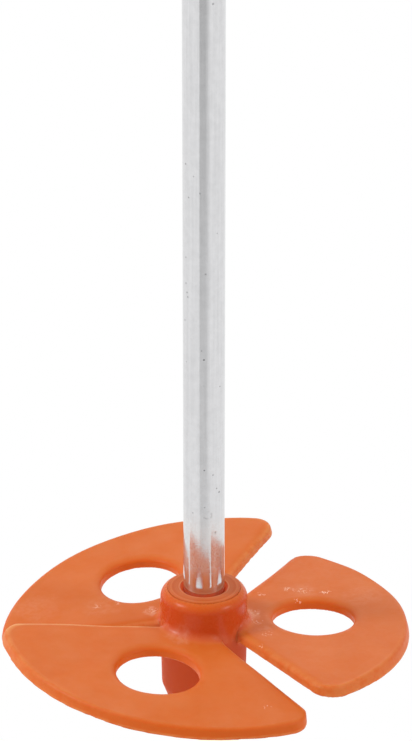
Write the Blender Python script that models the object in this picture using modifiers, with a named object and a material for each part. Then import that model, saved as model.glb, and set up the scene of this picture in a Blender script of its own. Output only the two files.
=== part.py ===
"""Mortar mixing paddle: a moulded impeller with three holed blades, clamped to the foot of a drill shaft.

Metres, +Z up. The origin is the centre of the nose's flat underside, and +Z runs up the shaft.
Seen from above, each blade's clockwise edge leads and stands higher, so the paddle pushes the mortar down.
"""

from math import acos, atan2, cos, pi, radians, sin, sqrt

import bmesh
import bpy
from mathutils import Matrix, Vector

MM = 0.001

# Clearances
FIT_GAP = 0.3 * MM
WASHER_ROOM = 0.8 * MM

# Shaft and its hexagonal drill shank
OVERALL_LENGTH = 400.0 * MM
SHAFT_DIAMETER = 10.0 * MM
SHANK_ACROSS_FLATS = 8.0 * MM
SHANK_CORNER_TRIM = 0.07 * MM
SHANK_LENGTH = 36.0 * MM
SHANK_END_CHAMFER = 0.8 * MM
SHOULDER_CHAMFER = 0.4 * MM

# Threaded spigot and the lock nut on it
THREAD_DIAMETER = 8.0 * MM
THREAD_CHAMFER = 0.6 * MM
THREAD_PROTRUSION = 0.6 * MM
NUT_ACROSS_FLATS = 13.0 * MM
NUT_HEX_HEIGHT = 6.5 * MM
NUT_CHAMFER = 0.5 * MM
NUT_COLLAR_WALL = 0.8 * MM
NUT_COLLAR_HEIGHT = 2.0 * MM
LOCK_RING_WALL = 0.7 * MM
LOCK_RING_HEIGHT = 1.4 * MM

# Washer under the shaft's shoulder
WASHER_DIAMETER = 16.0 * MM
WASHER_THICKNESS = 1.6 * MM

# Hub
HUB_WALL = 1.8 * MM
HUB_RISE = 11.2 * MM
HUB_RIM_ROUND = 2.8 * MM
BARREL_DRAFT = 0.3 * MM
WEB_THICKNESS = 5.5 * MM
NOSE_HEIGHT = 4.0 * MM
NOSE_WALL = 0.95 * MM
CAP_THICKNESS = 3.4 * MM
CAP_CHAMFER = 0.4 * MM

# Bush that fills the hub's counterbore
MOUTH_CLEARANCE = 0.9 * MM
MOUTH_DEPTH = 0.8 * MM
BUSH_RIM_CHAMFER = 0.3 * MM

# Blades: where each one and its hole point, and its pitch, as the moulding has set
BLADES = {
    "right": {"azimuth_deg": -1.0, "hole_azimuth_deg": 0.65, "pitch_deg": 4.0},
    "rear": {"azimuth_deg": 120.0, "hole_azimuth_deg": 120.65, "pitch_deg": 6.4},
    "front": {"azimuth_deg": 241.0, "hole_azimuth_deg": 240.65, "pitch_deg": 3.7},
}
BLADE_THICKNESS = 3.3 * MM
BLADE_EDGE_ROUND = 1.45 * MM
BLADE_ROOT_FILLET = 2.5 * MM
FILLET_END_GAP = 0.2 * MM
LEADING_EDGE_DEG = 60.0
LEADING_SETBACK = 2.3 * MM
LEADING_CORNER_ROUND = 6.2 * MM
TRAILING_EDGE_DEG = 58.3
TRAILING_SETBACK = 1.3 * MM
TRAILING_CORNER_ROUND = 7.4 * MM
HUB_LAND = 6.25 * MM
HOLE_DIAMETER = 20.1 * MM
RIM_LAND = 13.4 * MM

# Shares of a size that a feature takes
ROOT_SINK = 0.8
RIM_ROUND_LIMIT = 0.96
EDGE_ROUND_LIMIT = 0.45
FILLET_SINK = 0.05

# Fineness of round surfaces
TURN_STEPS = 48
ROUND_STEPS = 5
CORNER_STEPS = 7
RIM_STEPS = 26
ROOT_STEPS = 12
HOLE_STEPS = 32
EDGE_STEPS = 1
WELD_DISTANCE = 0.00001

# Radii that follow
SHAFT_RADIUS = SHAFT_DIAMETER / 2
THREAD_RADIUS = THREAD_DIAMETER / 2
THREAD_HOLE_RADIUS = THREAD_RADIUS + FIT_GAP
WASHER_RADIUS = WASHER_DIAMETER / 2
COUNTERBORE_RADIUS = WASHER_RADIUS + WASHER_ROOM
HUB_RADIUS = COUNTERBORE_RADIUS + HUB_WALL
POCKET_ACROSS_FLATS = NUT_ACROSS_FLATS + 2 * FIT_GAP
POCKET_CORNER_RADIUS = POCKET_ACROSS_FLATS / 2 / cos(pi / 6)
NOSE_RADIUS = POCKET_CORNER_RADIUS + NOSE_WALL
HOLE_RADIUS = HOLE_DIAMETER / 2
HOLE_CENTRE_RADIUS = HUB_RADIUS + HUB_LAND + HOLE_RADIUS
IMPELLER_RADIUS = HOLE_CENTRE_RADIUS + HOLE_RADIUS + RIM_LAND
ROOT_RADIUS = HUB_RADIUS - ROOT_SINK * HUB_WALL

# Heights that follow, from the nose's underside up
THREAD_END = CAP_THICKNESS + FIT_GAP
NUT_BOTTOM = THREAD_END + THREAD_PROTRUSION
NUT_HEX_BOTTOM = NUT_BOTTOM + NUT_COLLAR_HEIGHT
NUT_TOP = NUT_HEX_BOTTOM + NUT_HEX_HEIGHT
WEB_BOTTOM = NUT_TOP + FIT_GAP
WEB_TOP = WEB_BOTTOM + WEB_THICKNESS
WASHER_BOTTOM = WEB_TOP + FIT_GAP
WASHER_TOP = WASHER_BOTTOM + WASHER_THICKNESS
SHOULDER_HEIGHT = WASHER_TOP + FIT_GAP
BLADE_LEVEL = WEB_TOP
HUB_TOP = BLADE_LEVEL + HUB_RISE
SHANK_BOTTOM = OVERALL_LENGTH - SHANK_LENGTH

# Colours, and each material's roughness and metalness
ORANGE = (0.72, 0.18, 0.05, 1.0)
DEEP_ORANGE = (0.62, 0.13, 0.03, 1.0)
ZINC = (0.66, 0.66, 0.67, 1.0)
NATURAL_NYLON = (0.85, 0.84, 0.78, 1.0)
MOULDED = {"roughness": 0.44, "metallic": 0.0}
PLATED = {"roughness": 0.3, "metallic": 1.0}


def clear_scene():
    for item in list(bpy.data.objects):
        bpy.data.objects.remove(item, do_unlink=True)


def new_collection(name):
    collection = bpy.data.collections.new(name)
    bpy.context.scene.collection.children.link(collection)
    return collection


def new_material(name, colour, roughness, metallic):
    material = bpy.data.materials.new(name)
    material.use_nodes = True
    shader = material.node_tree.nodes["Principled BSDF"]
    shader.inputs["Base Color"].default_value = colour
    shader.inputs["Roughness"].default_value = roughness
    shader.inputs["Metallic"].default_value = metallic
    return material


def add_object(name, data, collection, height=0.0):
    item = bpy.data.objects.new(name, data)
    item.location.z = height
    collection.objects.link(item)
    return item


def as_cutter(item):
    item.hide_render = True
    item.display_type = "WIRE"
    return item


def arc(centre, radius, start, end, steps):
    """Points along an arc, both ends included. Angles are in radians."""
    points = []
    for step in range(steps + 1):
        angle = start + (end - start) * step / steps
        points.append((centre[0] + radius * cos(angle), centre[1] + radius * sin(angle)))
    return points


def turned(name, profile, collection, height=0.0):
    """A profile of (radius, height) points, turned about Z. It closes on itself unless it starts on the axis."""
    edges = [(index, index + 1) for index in range(len(profile) - 1)]
    if profile[0][0] > 0:
        edges.append((len(profile) - 1, 0))
    mesh = bpy.data.meshes.new(name)
    mesh.from_pydata([(radius, 0.0, level) for radius, level in profile], edges, [])
    item = add_object(name, mesh, collection, height)
    screw = item.modifiers.new("turn", "SCREW")
    screw.steps = TURN_STEPS
    screw.render_steps = TURN_STEPS
    screw.use_merge_vertices = True
    screw.merge_threshold = WELD_DISTANCE
    screw.use_smooth_shade = True
    return item


def hexagon_prism(name, across_flats, bottom, top, collection):
    """An upright hexagonal prism with one flat facing +X."""
    shape = bmesh.new()
    corner_radius = across_flats / 2 / cos(pi / 6)
    bmesh.ops.create_cone(
        shape, cap_ends=True, segments=6, radius1=corner_radius, radius2=corner_radius, depth=top - bottom
    )
    facing = max(face.normal.x for face in shape.faces)
    if facing < cos(pi / 12):
        bmesh.ops.rotate(shape, verts=shape.verts, matrix=Matrix.Rotation(pi / 6, 3, "Z"))
    mesh = bpy.data.meshes.new(name)
    shape.to_mesh(mesh)
    shape.free()
    return add_object(name, mesh, collection, (bottom + top) / 2)


def combine(target, operation, tool):
    modifier = target.modifiers.new(tool.name, "BOOLEAN")
    modifier.operation = operation
    modifier.solver = "EXACT"
    modifier.object = tool


def plate(name, outlines, half_thickness, edge_round, inset, collection):
    """A flat plate from closed outlines, with rounded edges, as a welded mesh object."""
    curve = bpy.data.curves.new(name, "CURVE")
    curve.dimensions = "2D"
    curve.fill_mode = "BOTH"
    curve.extrude = half_thickness - edge_round
    curve.bevel_depth = edge_round
    curve.bevel_resolution = EDGE_STEPS
    curve.offset = -edge_round - inset
    for outline in outlines:
        spline = curve.splines.new("POLY")
        spline.points.add(len(outline) - 1)
        for point, (along, across) in zip(spline.points, outline):
            point.co = (along, across, 0.0, 1.0)
        spline.use_cyclic_u = True
    drawn = add_object(name + "_outline", curve, collection)
    seen = drawn.evaluated_get(bpy.context.evaluated_depsgraph_get())
    mesh = bpy.data.meshes.new_from_object(seen)
    shape = bmesh.new()
    shape.from_mesh(mesh)
    bmesh.ops.remove_doubles(shape, verts=shape.verts, dist=WELD_DISTANCE)
    shape.to_mesh(mesh)
    shape.free()
    item = add_object(name, mesh, collection)
    item.matrix_world = drawn.matrix_world
    bpy.data.objects.remove(drawn, do_unlink=True)
    return item


def blade_side(edge_deg, setback, corner_round, side, root_radius):
    """One straight side of a blade: where it leaves the root, and the rounded corner at the rim.

    The side runs at edge_deg from the blade's middle line, setback clear of the axis. side is -1 for the
    leading side and 1 for the trailing one. root_radius is how near the axis the root is.
    """
    angle = radians(edge_deg)
    run = Vector((cos(angle), side * sin(angle)))
    inward = Vector((sin(angle), -side * cos(angle)))
    root = inward * setback + run * sqrt(root_radius**2 - setback**2)
    reach = IMPELLER_RADIUS - corner_round
    centre = inward * (setback + corner_round) + run * sqrt(reach**2 - (setback + corner_round) ** 2)
    side_angle = atan2(-inward.y, -inward.x)
    rim_angle = atan2(centre.y, centre.x)
    return root, arc(centre, corner_round, side_angle, rim_angle, CORNER_STEPS), rim_angle


def blade_outline(root_radius):
    """The blade's fan shape, anticlockwise, with +X along its middle line and its root at root_radius."""
    leading_root, leading_corner, leading_rim = blade_side(
        LEADING_EDGE_DEG, LEADING_SETBACK, LEADING_CORNER_ROUND, -1, root_radius
    )
    trailing_root, trailing_corner, trailing_rim = blade_side(
        TRAILING_EDGE_DEG, TRAILING_SETBACK, TRAILING_CORNER_ROUND, 1, root_radius
    )
    rim = arc((0.0, 0.0), IMPELLER_RADIUS, leading_rim, trailing_rim, RIM_STEPS)
    root = arc(
        (0.0, 0.0),
        root_radius,
        atan2(trailing_root.y, trailing_root.x),
        atan2(leading_root.y, leading_root.x),
        ROOT_STEPS,
    )
    return leading_corner + rim[1:-1] + trailing_corner[::-1] + root


def make_blade(name, hole_turn, edge_round, cutters):
    """One blade, level and pointing along +X, with its hole turned about the axis by hole_turn radians."""
    centre = (HOLE_CENTRE_RADIUS * cos(hole_turn), HOLE_CENTRE_RADIUS * sin(hole_turn))
    hole = arc(centre, HOLE_RADIUS, 0.0, 2 * pi, HOLE_STEPS)[:-1]
    return plate(name, [blade_outline(ROOT_RADIUS), hole], BLADE_THICKNESS / 2, edge_round, 0.0, cutters)


def make_root_fillet(name, edge_round, cutters):
    """The hollow fillet between a blade and the hub, above and below, inside the blade's rounded edges."""
    sink = FILLET_SINK * BLADE_ROOT_FILLET
    half = BLADE_THICKNESS / 2 + BLADE_ROOT_FILLET - sink
    centre = (HUB_RADIUS + BLADE_ROOT_FILLET - sink, half)
    upper = arc(centre, BLADE_ROOT_FILLET, pi, 1.5 * pi, ROUND_STEPS)
    lower = [(radius, -level) for radius, level in reversed(upper)]
    profile = [(ROOT_RADIUS, half)] + upper + lower + [(ROOT_RADIUS, -half)]
    fillet = as_cutter(turned(name, profile, cutters))
    inset = edge_round + FILLET_END_GAP
    outline = blade_outline(ROOT_RADIUS - 2 * inset)
    reach = as_cutter(plate(name + "_reach", [outline], 2 * half, 0.0, inset, cutters))
    combine(fillet, "INTERSECT", reach)
    return fillet, reach


def make_hub(collection):
    """The hub and its nose, with the counterbore, the web and the thread's hole.

    The rim rounds over the whole wall, and the barrel tapers down from the blades.
    """
    rim_round = max(HUB_RIM_ROUND, HUB_WALL / RIM_ROUND_LIMIT)
    rim_centre = (HUB_RADIUS - rim_round, HUB_TOP - rim_round)
    profile = arc(rim_centre, rim_round, acos(1 - HUB_WALL / rim_round), 0.0, ROUND_STEPS)
    profile += [
        (HUB_RADIUS, BLADE_LEVEL),
        (HUB_RADIUS - BARREL_DRAFT, NOSE_HEIGHT),
        (NOSE_RADIUS, 0.0),
        (THREAD_HOLE_RADIUS, 0.0),
        (THREAD_HOLE_RADIUS, WEB_TOP),
        (COUNTERBORE_RADIUS, WEB_TOP),
    ]
    return turned("impeller", profile, collection)


def make_impeller(parts, cutters):
    impeller = make_hub(parts)
    edge_round = min(BLADE_EDGE_ROUND, EDGE_ROUND_LIMIT * BLADE_THICKNESS)
    for name, blade in BLADES.items():
        turn = Matrix.Rotation(radians(blade["azimuth_deg"]), 4, "Z")
        tilt = Matrix.Rotation(radians(-blade["pitch_deg"]), 4, "X")
        place = Matrix.Translation((0.0, 0.0, BLADE_LEVEL)) @ turn @ tilt
        hole_turn = radians(blade["hole_azimuth_deg"] - blade["azimuth_deg"])
        body = as_cutter(make_blade(name + "_blade", hole_turn, edge_round, cutters))
        fillet, reach = make_root_fillet(name + "_fillet", edge_round, cutters)
        for item in (body, fillet, reach):
            item.matrix_world = place
        combine(impeller, "UNION", body)
        combine(impeller, "UNION", fillet)
    pocket = as_cutter(
        hexagon_prism("nut_pocket", POCKET_ACROSS_FLATS, -WEB_BOTTOM, WEB_BOTTOM, cutters)
    )
    combine(impeller, "DIFFERENCE", pocket)
    return impeller


def make_shaft(parts, cutters):
    blank_radius = SHANK_ACROSS_FLATS / 2 / cos(pi / 6) - SHANK_CORNER_TRIM
    profile = [
        (0.0, OVERALL_LENGTH),
        (blank_radius - SHANK_END_CHAMFER, OVERALL_LENGTH),
        (blank_radius, OVERALL_LENGTH - SHANK_END_CHAMFER),
        (blank_radius, SHANK_BOTTOM),
        (SHAFT_RADIUS, SHANK_BOTTOM - abs(SHAFT_RADIUS - blank_radius)),
        (SHAFT_RADIUS, SHOULDER_HEIGHT + SHOULDER_CHAMFER),
        (SHAFT_RADIUS - SHOULDER_CHAMFER, SHOULDER_HEIGHT),
        (THREAD_RADIUS, SHOULDER_HEIGHT),
        (THREAD_RADIUS, THREAD_END + THREAD_CHAMFER),
        (THREAD_RADIUS - THREAD_CHAMFER, THREAD_END),
        (0.0, THREAD_END),
    ]
    shaft = turned("shaft", profile, parts)
    ring_profile = [
        (THREAD_RADIUS / 2, OVERALL_LENGTH + SHANK_END_CHAMFER),
        (SHAFT_DIAMETER, OVERALL_LENGTH + SHANK_END_CHAMFER),
        (SHAFT_DIAMETER, SHANK_BOTTOM),
        (THREAD_RADIUS / 2, SHANK_BOTTOM),
    ]
    ring = as_cutter(turned("shank_waste", ring_profile, cutters))
    core = as_cutter(
        hexagon_prism(
            "shank_core", SHANK_ACROSS_FLATS, SHANK_BOTTOM - SHANK_LENGTH, OVERALL_LENGTH + SHANK_LENGTH, cutters
        )
    )
    combine(ring, "DIFFERENCE", core)
    combine(shaft, "DIFFERENCE", ring)
    return shaft


def make_hub_bush(parts):
    """The ring round the shaft, with a conical mouth at its top."""
    outer = COUNTERBORE_RADIUS - FIT_GAP
    bore = SHAFT_RADIUS + FIT_GAP
    mouth = SHAFT_RADIUS + MOUTH_CLEARANCE
    length = HUB_TOP - SHOULDER_HEIGHT
    profile = [
        (mouth, length),
        (outer - BUSH_RIM_CHAMFER, length),
        (outer, length - BUSH_RIM_CHAMFER),
        (outer, 0.0),
        (bore, 0.0),
        (bore, length - MOUTH_DEPTH),
    ]
    return turned("hub_bush", profile, parts, SHOULDER_HEIGHT)


def make_shoulder_washer(parts):
    profile = [
        (THREAD_HOLE_RADIUS, WASHER_THICKNESS),
        (WASHER_RADIUS, WASHER_THICKNESS),
        (WASHER_RADIUS, 0.0),
        (THREAD_HOLE_RADIUS, 0.0),
    ]
    return turned("shoulder_washer", profile, parts, WASHER_BOTTOM)


def make_lock_nut(parts, cutters):
    """A lock nut, collar down: the collar holds the nylon ring against the hexagon."""
    corner = NUT_ACROSS_FLATS / 2 / cos(pi / 6)
    ring_seat = THREAD_HOLE_RADIUS + LOCK_RING_WALL + FIT_GAP
    collar = ring_seat + NUT_COLLAR_WALL
    height = NUT_TOP - NUT_BOTTOM
    seat_top = FIT_GAP + LOCK_RING_HEIGHT + FIT_GAP
    profile = [
        (THREAD_HOLE_RADIUS, height),
        (corner - 2 * NUT_CHAMFER, height),
        (corner, height - NUT_CHAMFER),
        (corner, NUT_COLLAR_HEIGHT),
        (collar, NUT_COLLAR_HEIGHT),
        (collar, 0.0),
        (ring_seat, 0.0),
        (ring_seat, seat_top),
        (THREAD_HOLE_RADIUS, seat_top),
    ]
    nut = turned("lock_nut", profile, parts, NUT_BOTTOM)
    blank = as_cutter(
        hexagon_prism("nut_hexagon", NUT_ACROSS_FLATS, NUT_BOTTOM - height, NUT_TOP + height, cutters)
    )
    combine(nut, "INTERSECT", blank)
    return nut


def make_lock_ring(parts):
    outer = THREAD_HOLE_RADIUS + LOCK_RING_WALL
    profile = [
        (THREAD_HOLE_RADIUS, LOCK_RING_HEIGHT),
        (outer, LOCK_RING_HEIGHT),
        (outer, 0.0),
        (THREAD_HOLE_RADIUS, 0.0),
    ]
    return turned("lock_ring", profile, parts, NUT_BOTTOM + FIT_GAP)


def make_end_cap(parts):
    """The hexagonal plug under the nut, flush with the nose."""
    cap = hexagon_prism("end_cap", POCKET_ACROSS_FLATS - 2 * FIT_GAP, 0.0, CAP_THICKNESS, parts)
    bevel = cap.modifiers.new("edges", "BEVEL")
    bevel.width = CAP_CHAMFER
    bevel.segments = 2
    return cap


def main():
    clear_scene()
    parts = new_collection("mortar_mixing_paddle")
    cutters = new_collection("cutters")
    orange = new_material("impeller_plastic", ORANGE, **MOULDED)
    deep_orange = new_material("hub_insert_plastic", DEEP_ORANGE, **MOULDED)
    zinc = new_material("zinc_plated_steel", ZINC, **PLATED)
    fastener = new_material("fastener_steel", ZINC, **PLATED)
    nylon = new_material("natural_nylon", NATURAL_NYLON, **MOULDED)
    pieces = [
        (make_shaft(parts, cutters), zinc),
        (make_impeller(parts, cutters), orange),
        (make_hub_bush(parts), deep_orange),
        (make_shoulder_washer(parts), fastener),
        (make_lock_nut(parts, cutters), fastener),
        (make_lock_ring(parts), nylon),
        (make_end_cap(parts), deep_orange),
    ]
    for item, material in pieces:
        item.data.materials.append(material)


main()
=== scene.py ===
"""Looks of the mortar mixing paddle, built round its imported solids.

The part's frame is in metres with +Z up the shaft. Sizes below are real ones in millimetres.
"""

from itertools import product
from math import cos, pi, radians, sin, tan

import bpy
import numpy as np
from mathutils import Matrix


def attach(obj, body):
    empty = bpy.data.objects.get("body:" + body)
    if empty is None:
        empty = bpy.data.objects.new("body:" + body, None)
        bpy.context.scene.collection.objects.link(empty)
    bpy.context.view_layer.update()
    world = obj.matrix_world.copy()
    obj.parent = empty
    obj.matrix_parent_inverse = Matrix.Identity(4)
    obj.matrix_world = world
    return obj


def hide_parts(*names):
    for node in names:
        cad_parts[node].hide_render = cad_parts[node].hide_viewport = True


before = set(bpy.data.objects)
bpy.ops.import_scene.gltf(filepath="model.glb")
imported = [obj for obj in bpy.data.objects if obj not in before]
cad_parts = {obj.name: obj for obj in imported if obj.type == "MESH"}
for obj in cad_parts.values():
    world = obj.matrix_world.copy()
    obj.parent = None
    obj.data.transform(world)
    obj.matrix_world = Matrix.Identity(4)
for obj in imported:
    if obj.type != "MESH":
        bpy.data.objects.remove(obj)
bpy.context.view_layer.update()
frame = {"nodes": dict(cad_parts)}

MM = 0.001

# Hub of the impeller
HUB_RADIUS = 10.6
HUB_TOP = 29.8
HUB_RIM_ROUND = 2.8
BARREL_DRAFT = 0.3
NOSE_RADIUS = 8.8
NOSE_HEIGHT = 4.0
NOSE_EDGE_ROUND = 0.5
COUNTERBORE_RADIUS = 8.8
THREAD_HOLE_RADIUS = 4.3
POCKET_ACROSS_FLATS = 13.6
WEB_BOTTOM = 13.1
WEB_TOP = 18.6
CAVITY_EDGE_ROUND = 0.15

# Blades: the way each one points, its pitch, its droop and the way its hole points, in degrees
BLADES = ((-1.5, 4.2, 0.9, 0.3), (120.4, 6.6, 0.6, 121.7), (240.2, 4.1, 0.6, 241.1))
BLADE_LEVEL = 18.6
BLADE_TOP = 2.2
BLADE_BOTTOM = 0.7
SOFT_ROUND_WIDTH = 2.4
SOFT_ROUND_HEIGHT = 1.2
RIM_ROUND = 0.75
RIM_DRAFT = 0.27
BOTTOM_ROUND = 0.5
BLADE_ROOT_FILLET = 2.6
ROOT_FILLET_FADE = 3.0
ROOT_FILLET_AT_EDGE = 0.5
IMPELLER_RADIUS = 50.3
LEADING_EDGE = radians(61.6)
LEADING_SETBACK = 3.05
LEADING_CORNER_ROUND = 6.3
TRAILING_EDGE = radians(59.7)
TRAILING_SETBACK = 1.85
TRAILING_CORNER_ROUND = 6.7
HOLE_RADIUS = 10.0
HOLE_CENTRE_RADIUS = 26.9

# Slight waviness that the moulding has set with
RIPPLE_HEIGHT = 0.035
RIPPLE_WAVES = ((0.21, 0.13, 0.4), (-0.11, 0.27, 1.9), (0.33, -0.19, 3.1))

# Pale blade edges, partly wear and partly painted light: a painted highlight along each leading crest and
# the lower flash line, and painted light on the walls; strength on each blade, and where it starts and
# fades
CREST_WEAR_AND_HIGHLIGHT = (0.2, 0.25, 1.0)
LEADING_FADE = 9.0
CREST_TURN = 42.0
CREST_SPREAD = 24.0
WALL_PAINTED_LIGHT = (0.23, 0.32, 0.3)
WALL_DEPTHS = (-1.2, -0.5)
WALL_REACH = 50.0
FLASH_WEAR_AND_HIGHLIGHT = 0.34
FLASH_HEIGHT = 0.55
FLASH_HALF_WIDTH = 0.4
ON_SURFACE = 0.2

# Painted sheen on the blades' level tops, a paler colour that stands in for their reflection: depths from
# the straight edges and upward slopes between which it sets in
SHEEN_DEPTHS = (0.4, 3.6)
LEVEL_TOP = (0.75, 0.97)

# Fineness of the impeller's skin: radii and heights as (start, end, step), and steps round the axis
SKIN_RADII = ((3.7, 8.0, 0.6), (8.0, 11.5, 0.25), (11.5, 51.3, 0.6))
SKIN_HEIGHTS = ((-0.6, 12.0, 0.9), (12.0, 25.2, 0.4), (25.2, 30.5, 0.35))
SKIN_TURN_STEPS = 330
CELL_CORNERS = tuple(product((0, 1), repeat=3))

# Settling of the skin onto its surface: rounds, the step that probes the slope, and the least slopes used
SETTLE_ROUNDS = 5
PROBE = 0.01
LEAST_SLOPE_SQUARED = 0.25
LEAST_SLOPE = 1e-6

# Shaft, its shank and its threaded spigot
SHAFT_RADIUS = 5.0
SHAFT_TOP = 400.0
SHANK_BOTTOM = 364.0
SHANK_FLAT_RADIUS = 4.0
SHANK_CORNER_TRIM = 0.07
SHANK_BLANK_RADIUS = SHANK_FLAT_RADIUS / cos(pi / 6) - SHANK_CORNER_TRIM
SHANK_END_CHAMFER = 0.8
SHANK_SHOULDER_RISE = 0.05
SHOULDER_HEIGHT = 20.8
SHOULDER_CHAMFER = 0.4
THREAD_RADIUS = 4.0
THREAD_ROOT_RADIUS = 3.4
THREAD_PITCH = 1.25
THREAD_FLANK_SLOPE = 1.35
THREAD_ROOT_FLAT = 0.1
THREAD_END = 3.7
THREAD_CHAMFER = 0.6
THREAD_RELIEF = 1.5
RINGS_PER_PITCH = 8
SHAFT_TURN_STEPS = 144

# Bush in the hub's counterbore
BUSH_OUTER = 8.81
BUSH_BORE = 5.05
BUSH_MOUTH = 5.75
BUSH_BOTTOM = 20.8
BUSH_TOP = 29.8
MOUTH_DEPTH = 0.75
BUSH_RIM_ROUND = 0.18
MOUTH_ROUND = 0.2
BUSH_FOOT_ROUND = 0.2
BUSH_TURN_STEPS = 144

# Turned pieces: steps along a rounded corner, and the angle from which an edge looks sharp
ROUND_STEPS = 6
SHARP_ANGLE = radians(28.0)

# Camera: its angles, its place in the part's frame, and the lens for a 36 mm long side
CAMERA_AZIMUTH = radians(-4.56)
CAMERA_PITCH = radians(24.105)
CAMERA_PLACE = (-57.37, -725.41, 412.84)
CAMERA_LENS = 163.91
SENSOR_LONG_SIDE = 36.0
CAMERA_CLIP_START = 10.0

# Stage, in metres, and its colours as linear light
FLOOR_LEVEL = -0.13
FLOOR_HALF_SIZE = 6.0
PAPER_FADE = (0.09, 0.21)
FLOOR_GLOW = 0.05
FLOOR_COLOUR = (0.9, 0.9, 0.9, 1.0)
FLOOR_ROUGHNESS = 0.9
WHITE = (1.0, 1.0, 1.0, 1.0)


def rounded_corner(first, second, radius):
    """Two half spaces cut to their common part, with the edge between them rounded."""
    inner = np.minimum(np.maximum(first, second), -radius)
    return inner + np.hypot(np.maximum(first + radius, 0.0), np.maximum(second + radius, 0.0))


def filleted_union(first, second, radius):
    """Two solids joined, with a hollow fillet between them."""
    outer = np.maximum(np.minimum(first, second), radius)
    return outer - np.hypot(np.maximum(radius - first, 0.0), np.maximum(radius - second, 0.0))


def blade_frame(points, blade):
    """Points along a blade's middle line, across it and off its level."""
    x, y, z = points
    azimuth_deg, pitch_deg, droop_deg, _ = blade
    turn = radians(azimuth_deg)
    pitch = radians(pitch_deg)
    along = x * cos(turn) + y * sin(turn)
    level_across = -x * sin(turn) + y * cos(turn)
    rise = z - BLADE_LEVEL + along * tan(radians(droop_deg))
    across = level_across * cos(pitch) - rise * sin(pitch)
    off = level_across * sin(pitch) + rise * cos(pitch)
    return along, across, off


def blade_outline(along, across, off):
    """Distance to a blade's outline, without its hole, and to its leading and its trailing edge alone."""
    leading = LEADING_SETBACK - (along * sin(LEADING_EDGE) + across * cos(LEADING_EDGE))
    trailing = TRAILING_SETBACK - (along * sin(TRAILING_EDGE) - across * cos(TRAILING_EDGE))
    draft = RIM_DRAFT * np.maximum(off + BLADE_BOTTOM, 0.0)
    rim = np.hypot(along, across) - IMPELLER_RADIUS + draft
    outline = np.maximum(
        rounded_corner(leading, rim, LEADING_CORNER_ROUND),
        rounded_corner(trailing, rim, TRAILING_CORNER_ROUND),
    )
    return outline, leading, trailing


def blade_field(points, blade, hub=None):
    """Distance to one holed blade, with fillets to the hub inside its outline where a hub is given."""
    azimuth_deg, _, _, hole_deg = blade
    along, across, off = blade_frame(points, blade)
    turn = radians(hole_deg - azimuth_deg)
    hole_along = HOLE_CENTRE_RADIUS * cos(turn)
    hole_across = HOLE_CENTRE_RADIUS * sin(turn)
    hole = HOLE_RADIUS - np.hypot(along - hole_along, across - hole_across)
    outline, leading, trailing = blade_outline(along, across, off)
    plan = np.maximum(outline, hole)
    above = off - BLADE_TOP
    below = -off - BLADE_BOTTOM
    if hub is not None:
        share = np.clip(-outline / ROOT_FILLET_FADE, 0.0, 1.0)
        fillet = BLADE_ROOT_FILLET * (ROOT_FILLET_AT_EDGE + (1.0 - ROOT_FILLET_AT_EDGE) * share)
        above = filleted_union(hub, above, fillet)
        below = filleted_union(hub, below, fillet)
    soft_edge = np.maximum(np.maximum(leading, trailing), hole) * SOFT_ROUND_HEIGHT / SOFT_ROUND_WIDTH
    upper = np.maximum(
        rounded_corner(soft_edge, above, SOFT_ROUND_HEIGHT),
        rounded_corner(plan, above, RIM_ROUND),
    )
    return np.maximum(upper, rounded_corner(plan, below, BOTTOM_ROUND))


def edge_wear_and_light(points):
    """Paleness from 0 to 1, partly wear and partly painted light: a painted highlight where a leading edge
    turns down and at the lower edges, and painted light on the blades' walls.
    """
    paleness = np.zeros_like(points[0])
    for blade, strength, wall_light in zip(BLADES, CREST_WEAR_AND_HIGHLIGHT, WALL_PAINTED_LIGHT):
        along, across, off = blade_frame(points, blade)
        outline, leading, _ = blade_outline(along, across, off)
        out = np.maximum(outline * SOFT_ROUND_HEIGHT / SOFT_ROUND_WIDTH + SOFT_ROUND_HEIGHT, 0.0)
        up = np.maximum(off - BLADE_TOP + SOFT_ROUND_HEIGHT, 0.0)
        turned = np.degrees(np.arctan2(out, up))
        crest = np.clip(1.0 - np.abs(turned - CREST_TURN) / CREST_SPREAD, 0.0, 1.0)
        on_blade = np.abs(blade_field(points, blade)) < ON_SURFACE
        on_edge = np.clip((leading + LEADING_FADE) / LEADING_FADE, 0.0, 1.0)
        on_wall = np.interp(outline, WALL_DEPTHS, (0.0, wall_light))
        wall = on_wall * np.clip(1.0 + leading / WALL_REACH, 0.0, 1.0)
        above_line = np.abs(off + BLADE_BOTTOM - FLASH_HEIGHT)
        flash = np.clip(1.0 - above_line / FLASH_HALF_WIDTH, 0.0, 1.0) * (outline > -BOTTOM_ROUND)
        # Painted highlight on the crest and flash line and painted light on the walls, together with their
        # wear
        here = np.maximum(np.maximum(strength * on_edge * crest, wall), FLASH_WEAR_AND_HIGHLIGHT * flash)
        paleness = np.where(on_blade, here, paleness)
    return paleness


def sheen_cover(points):
    """How much of the painted sheen is kept, from 0 at the blades' straight edges to 1 away from them."""
    cover = np.ones_like(points[0])
    for blade in BLADES:
        _, leading, trailing = blade_outline(*blade_frame(points, blade))
        on_blade = np.abs(blade_field(points, blade)) < ON_SURFACE
        kept = np.interp(-np.maximum(leading, trailing), SHEEN_DEPTHS, (0.0, 1.0))
        cover = np.where(on_blade, kept, cover)
    return cover


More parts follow.
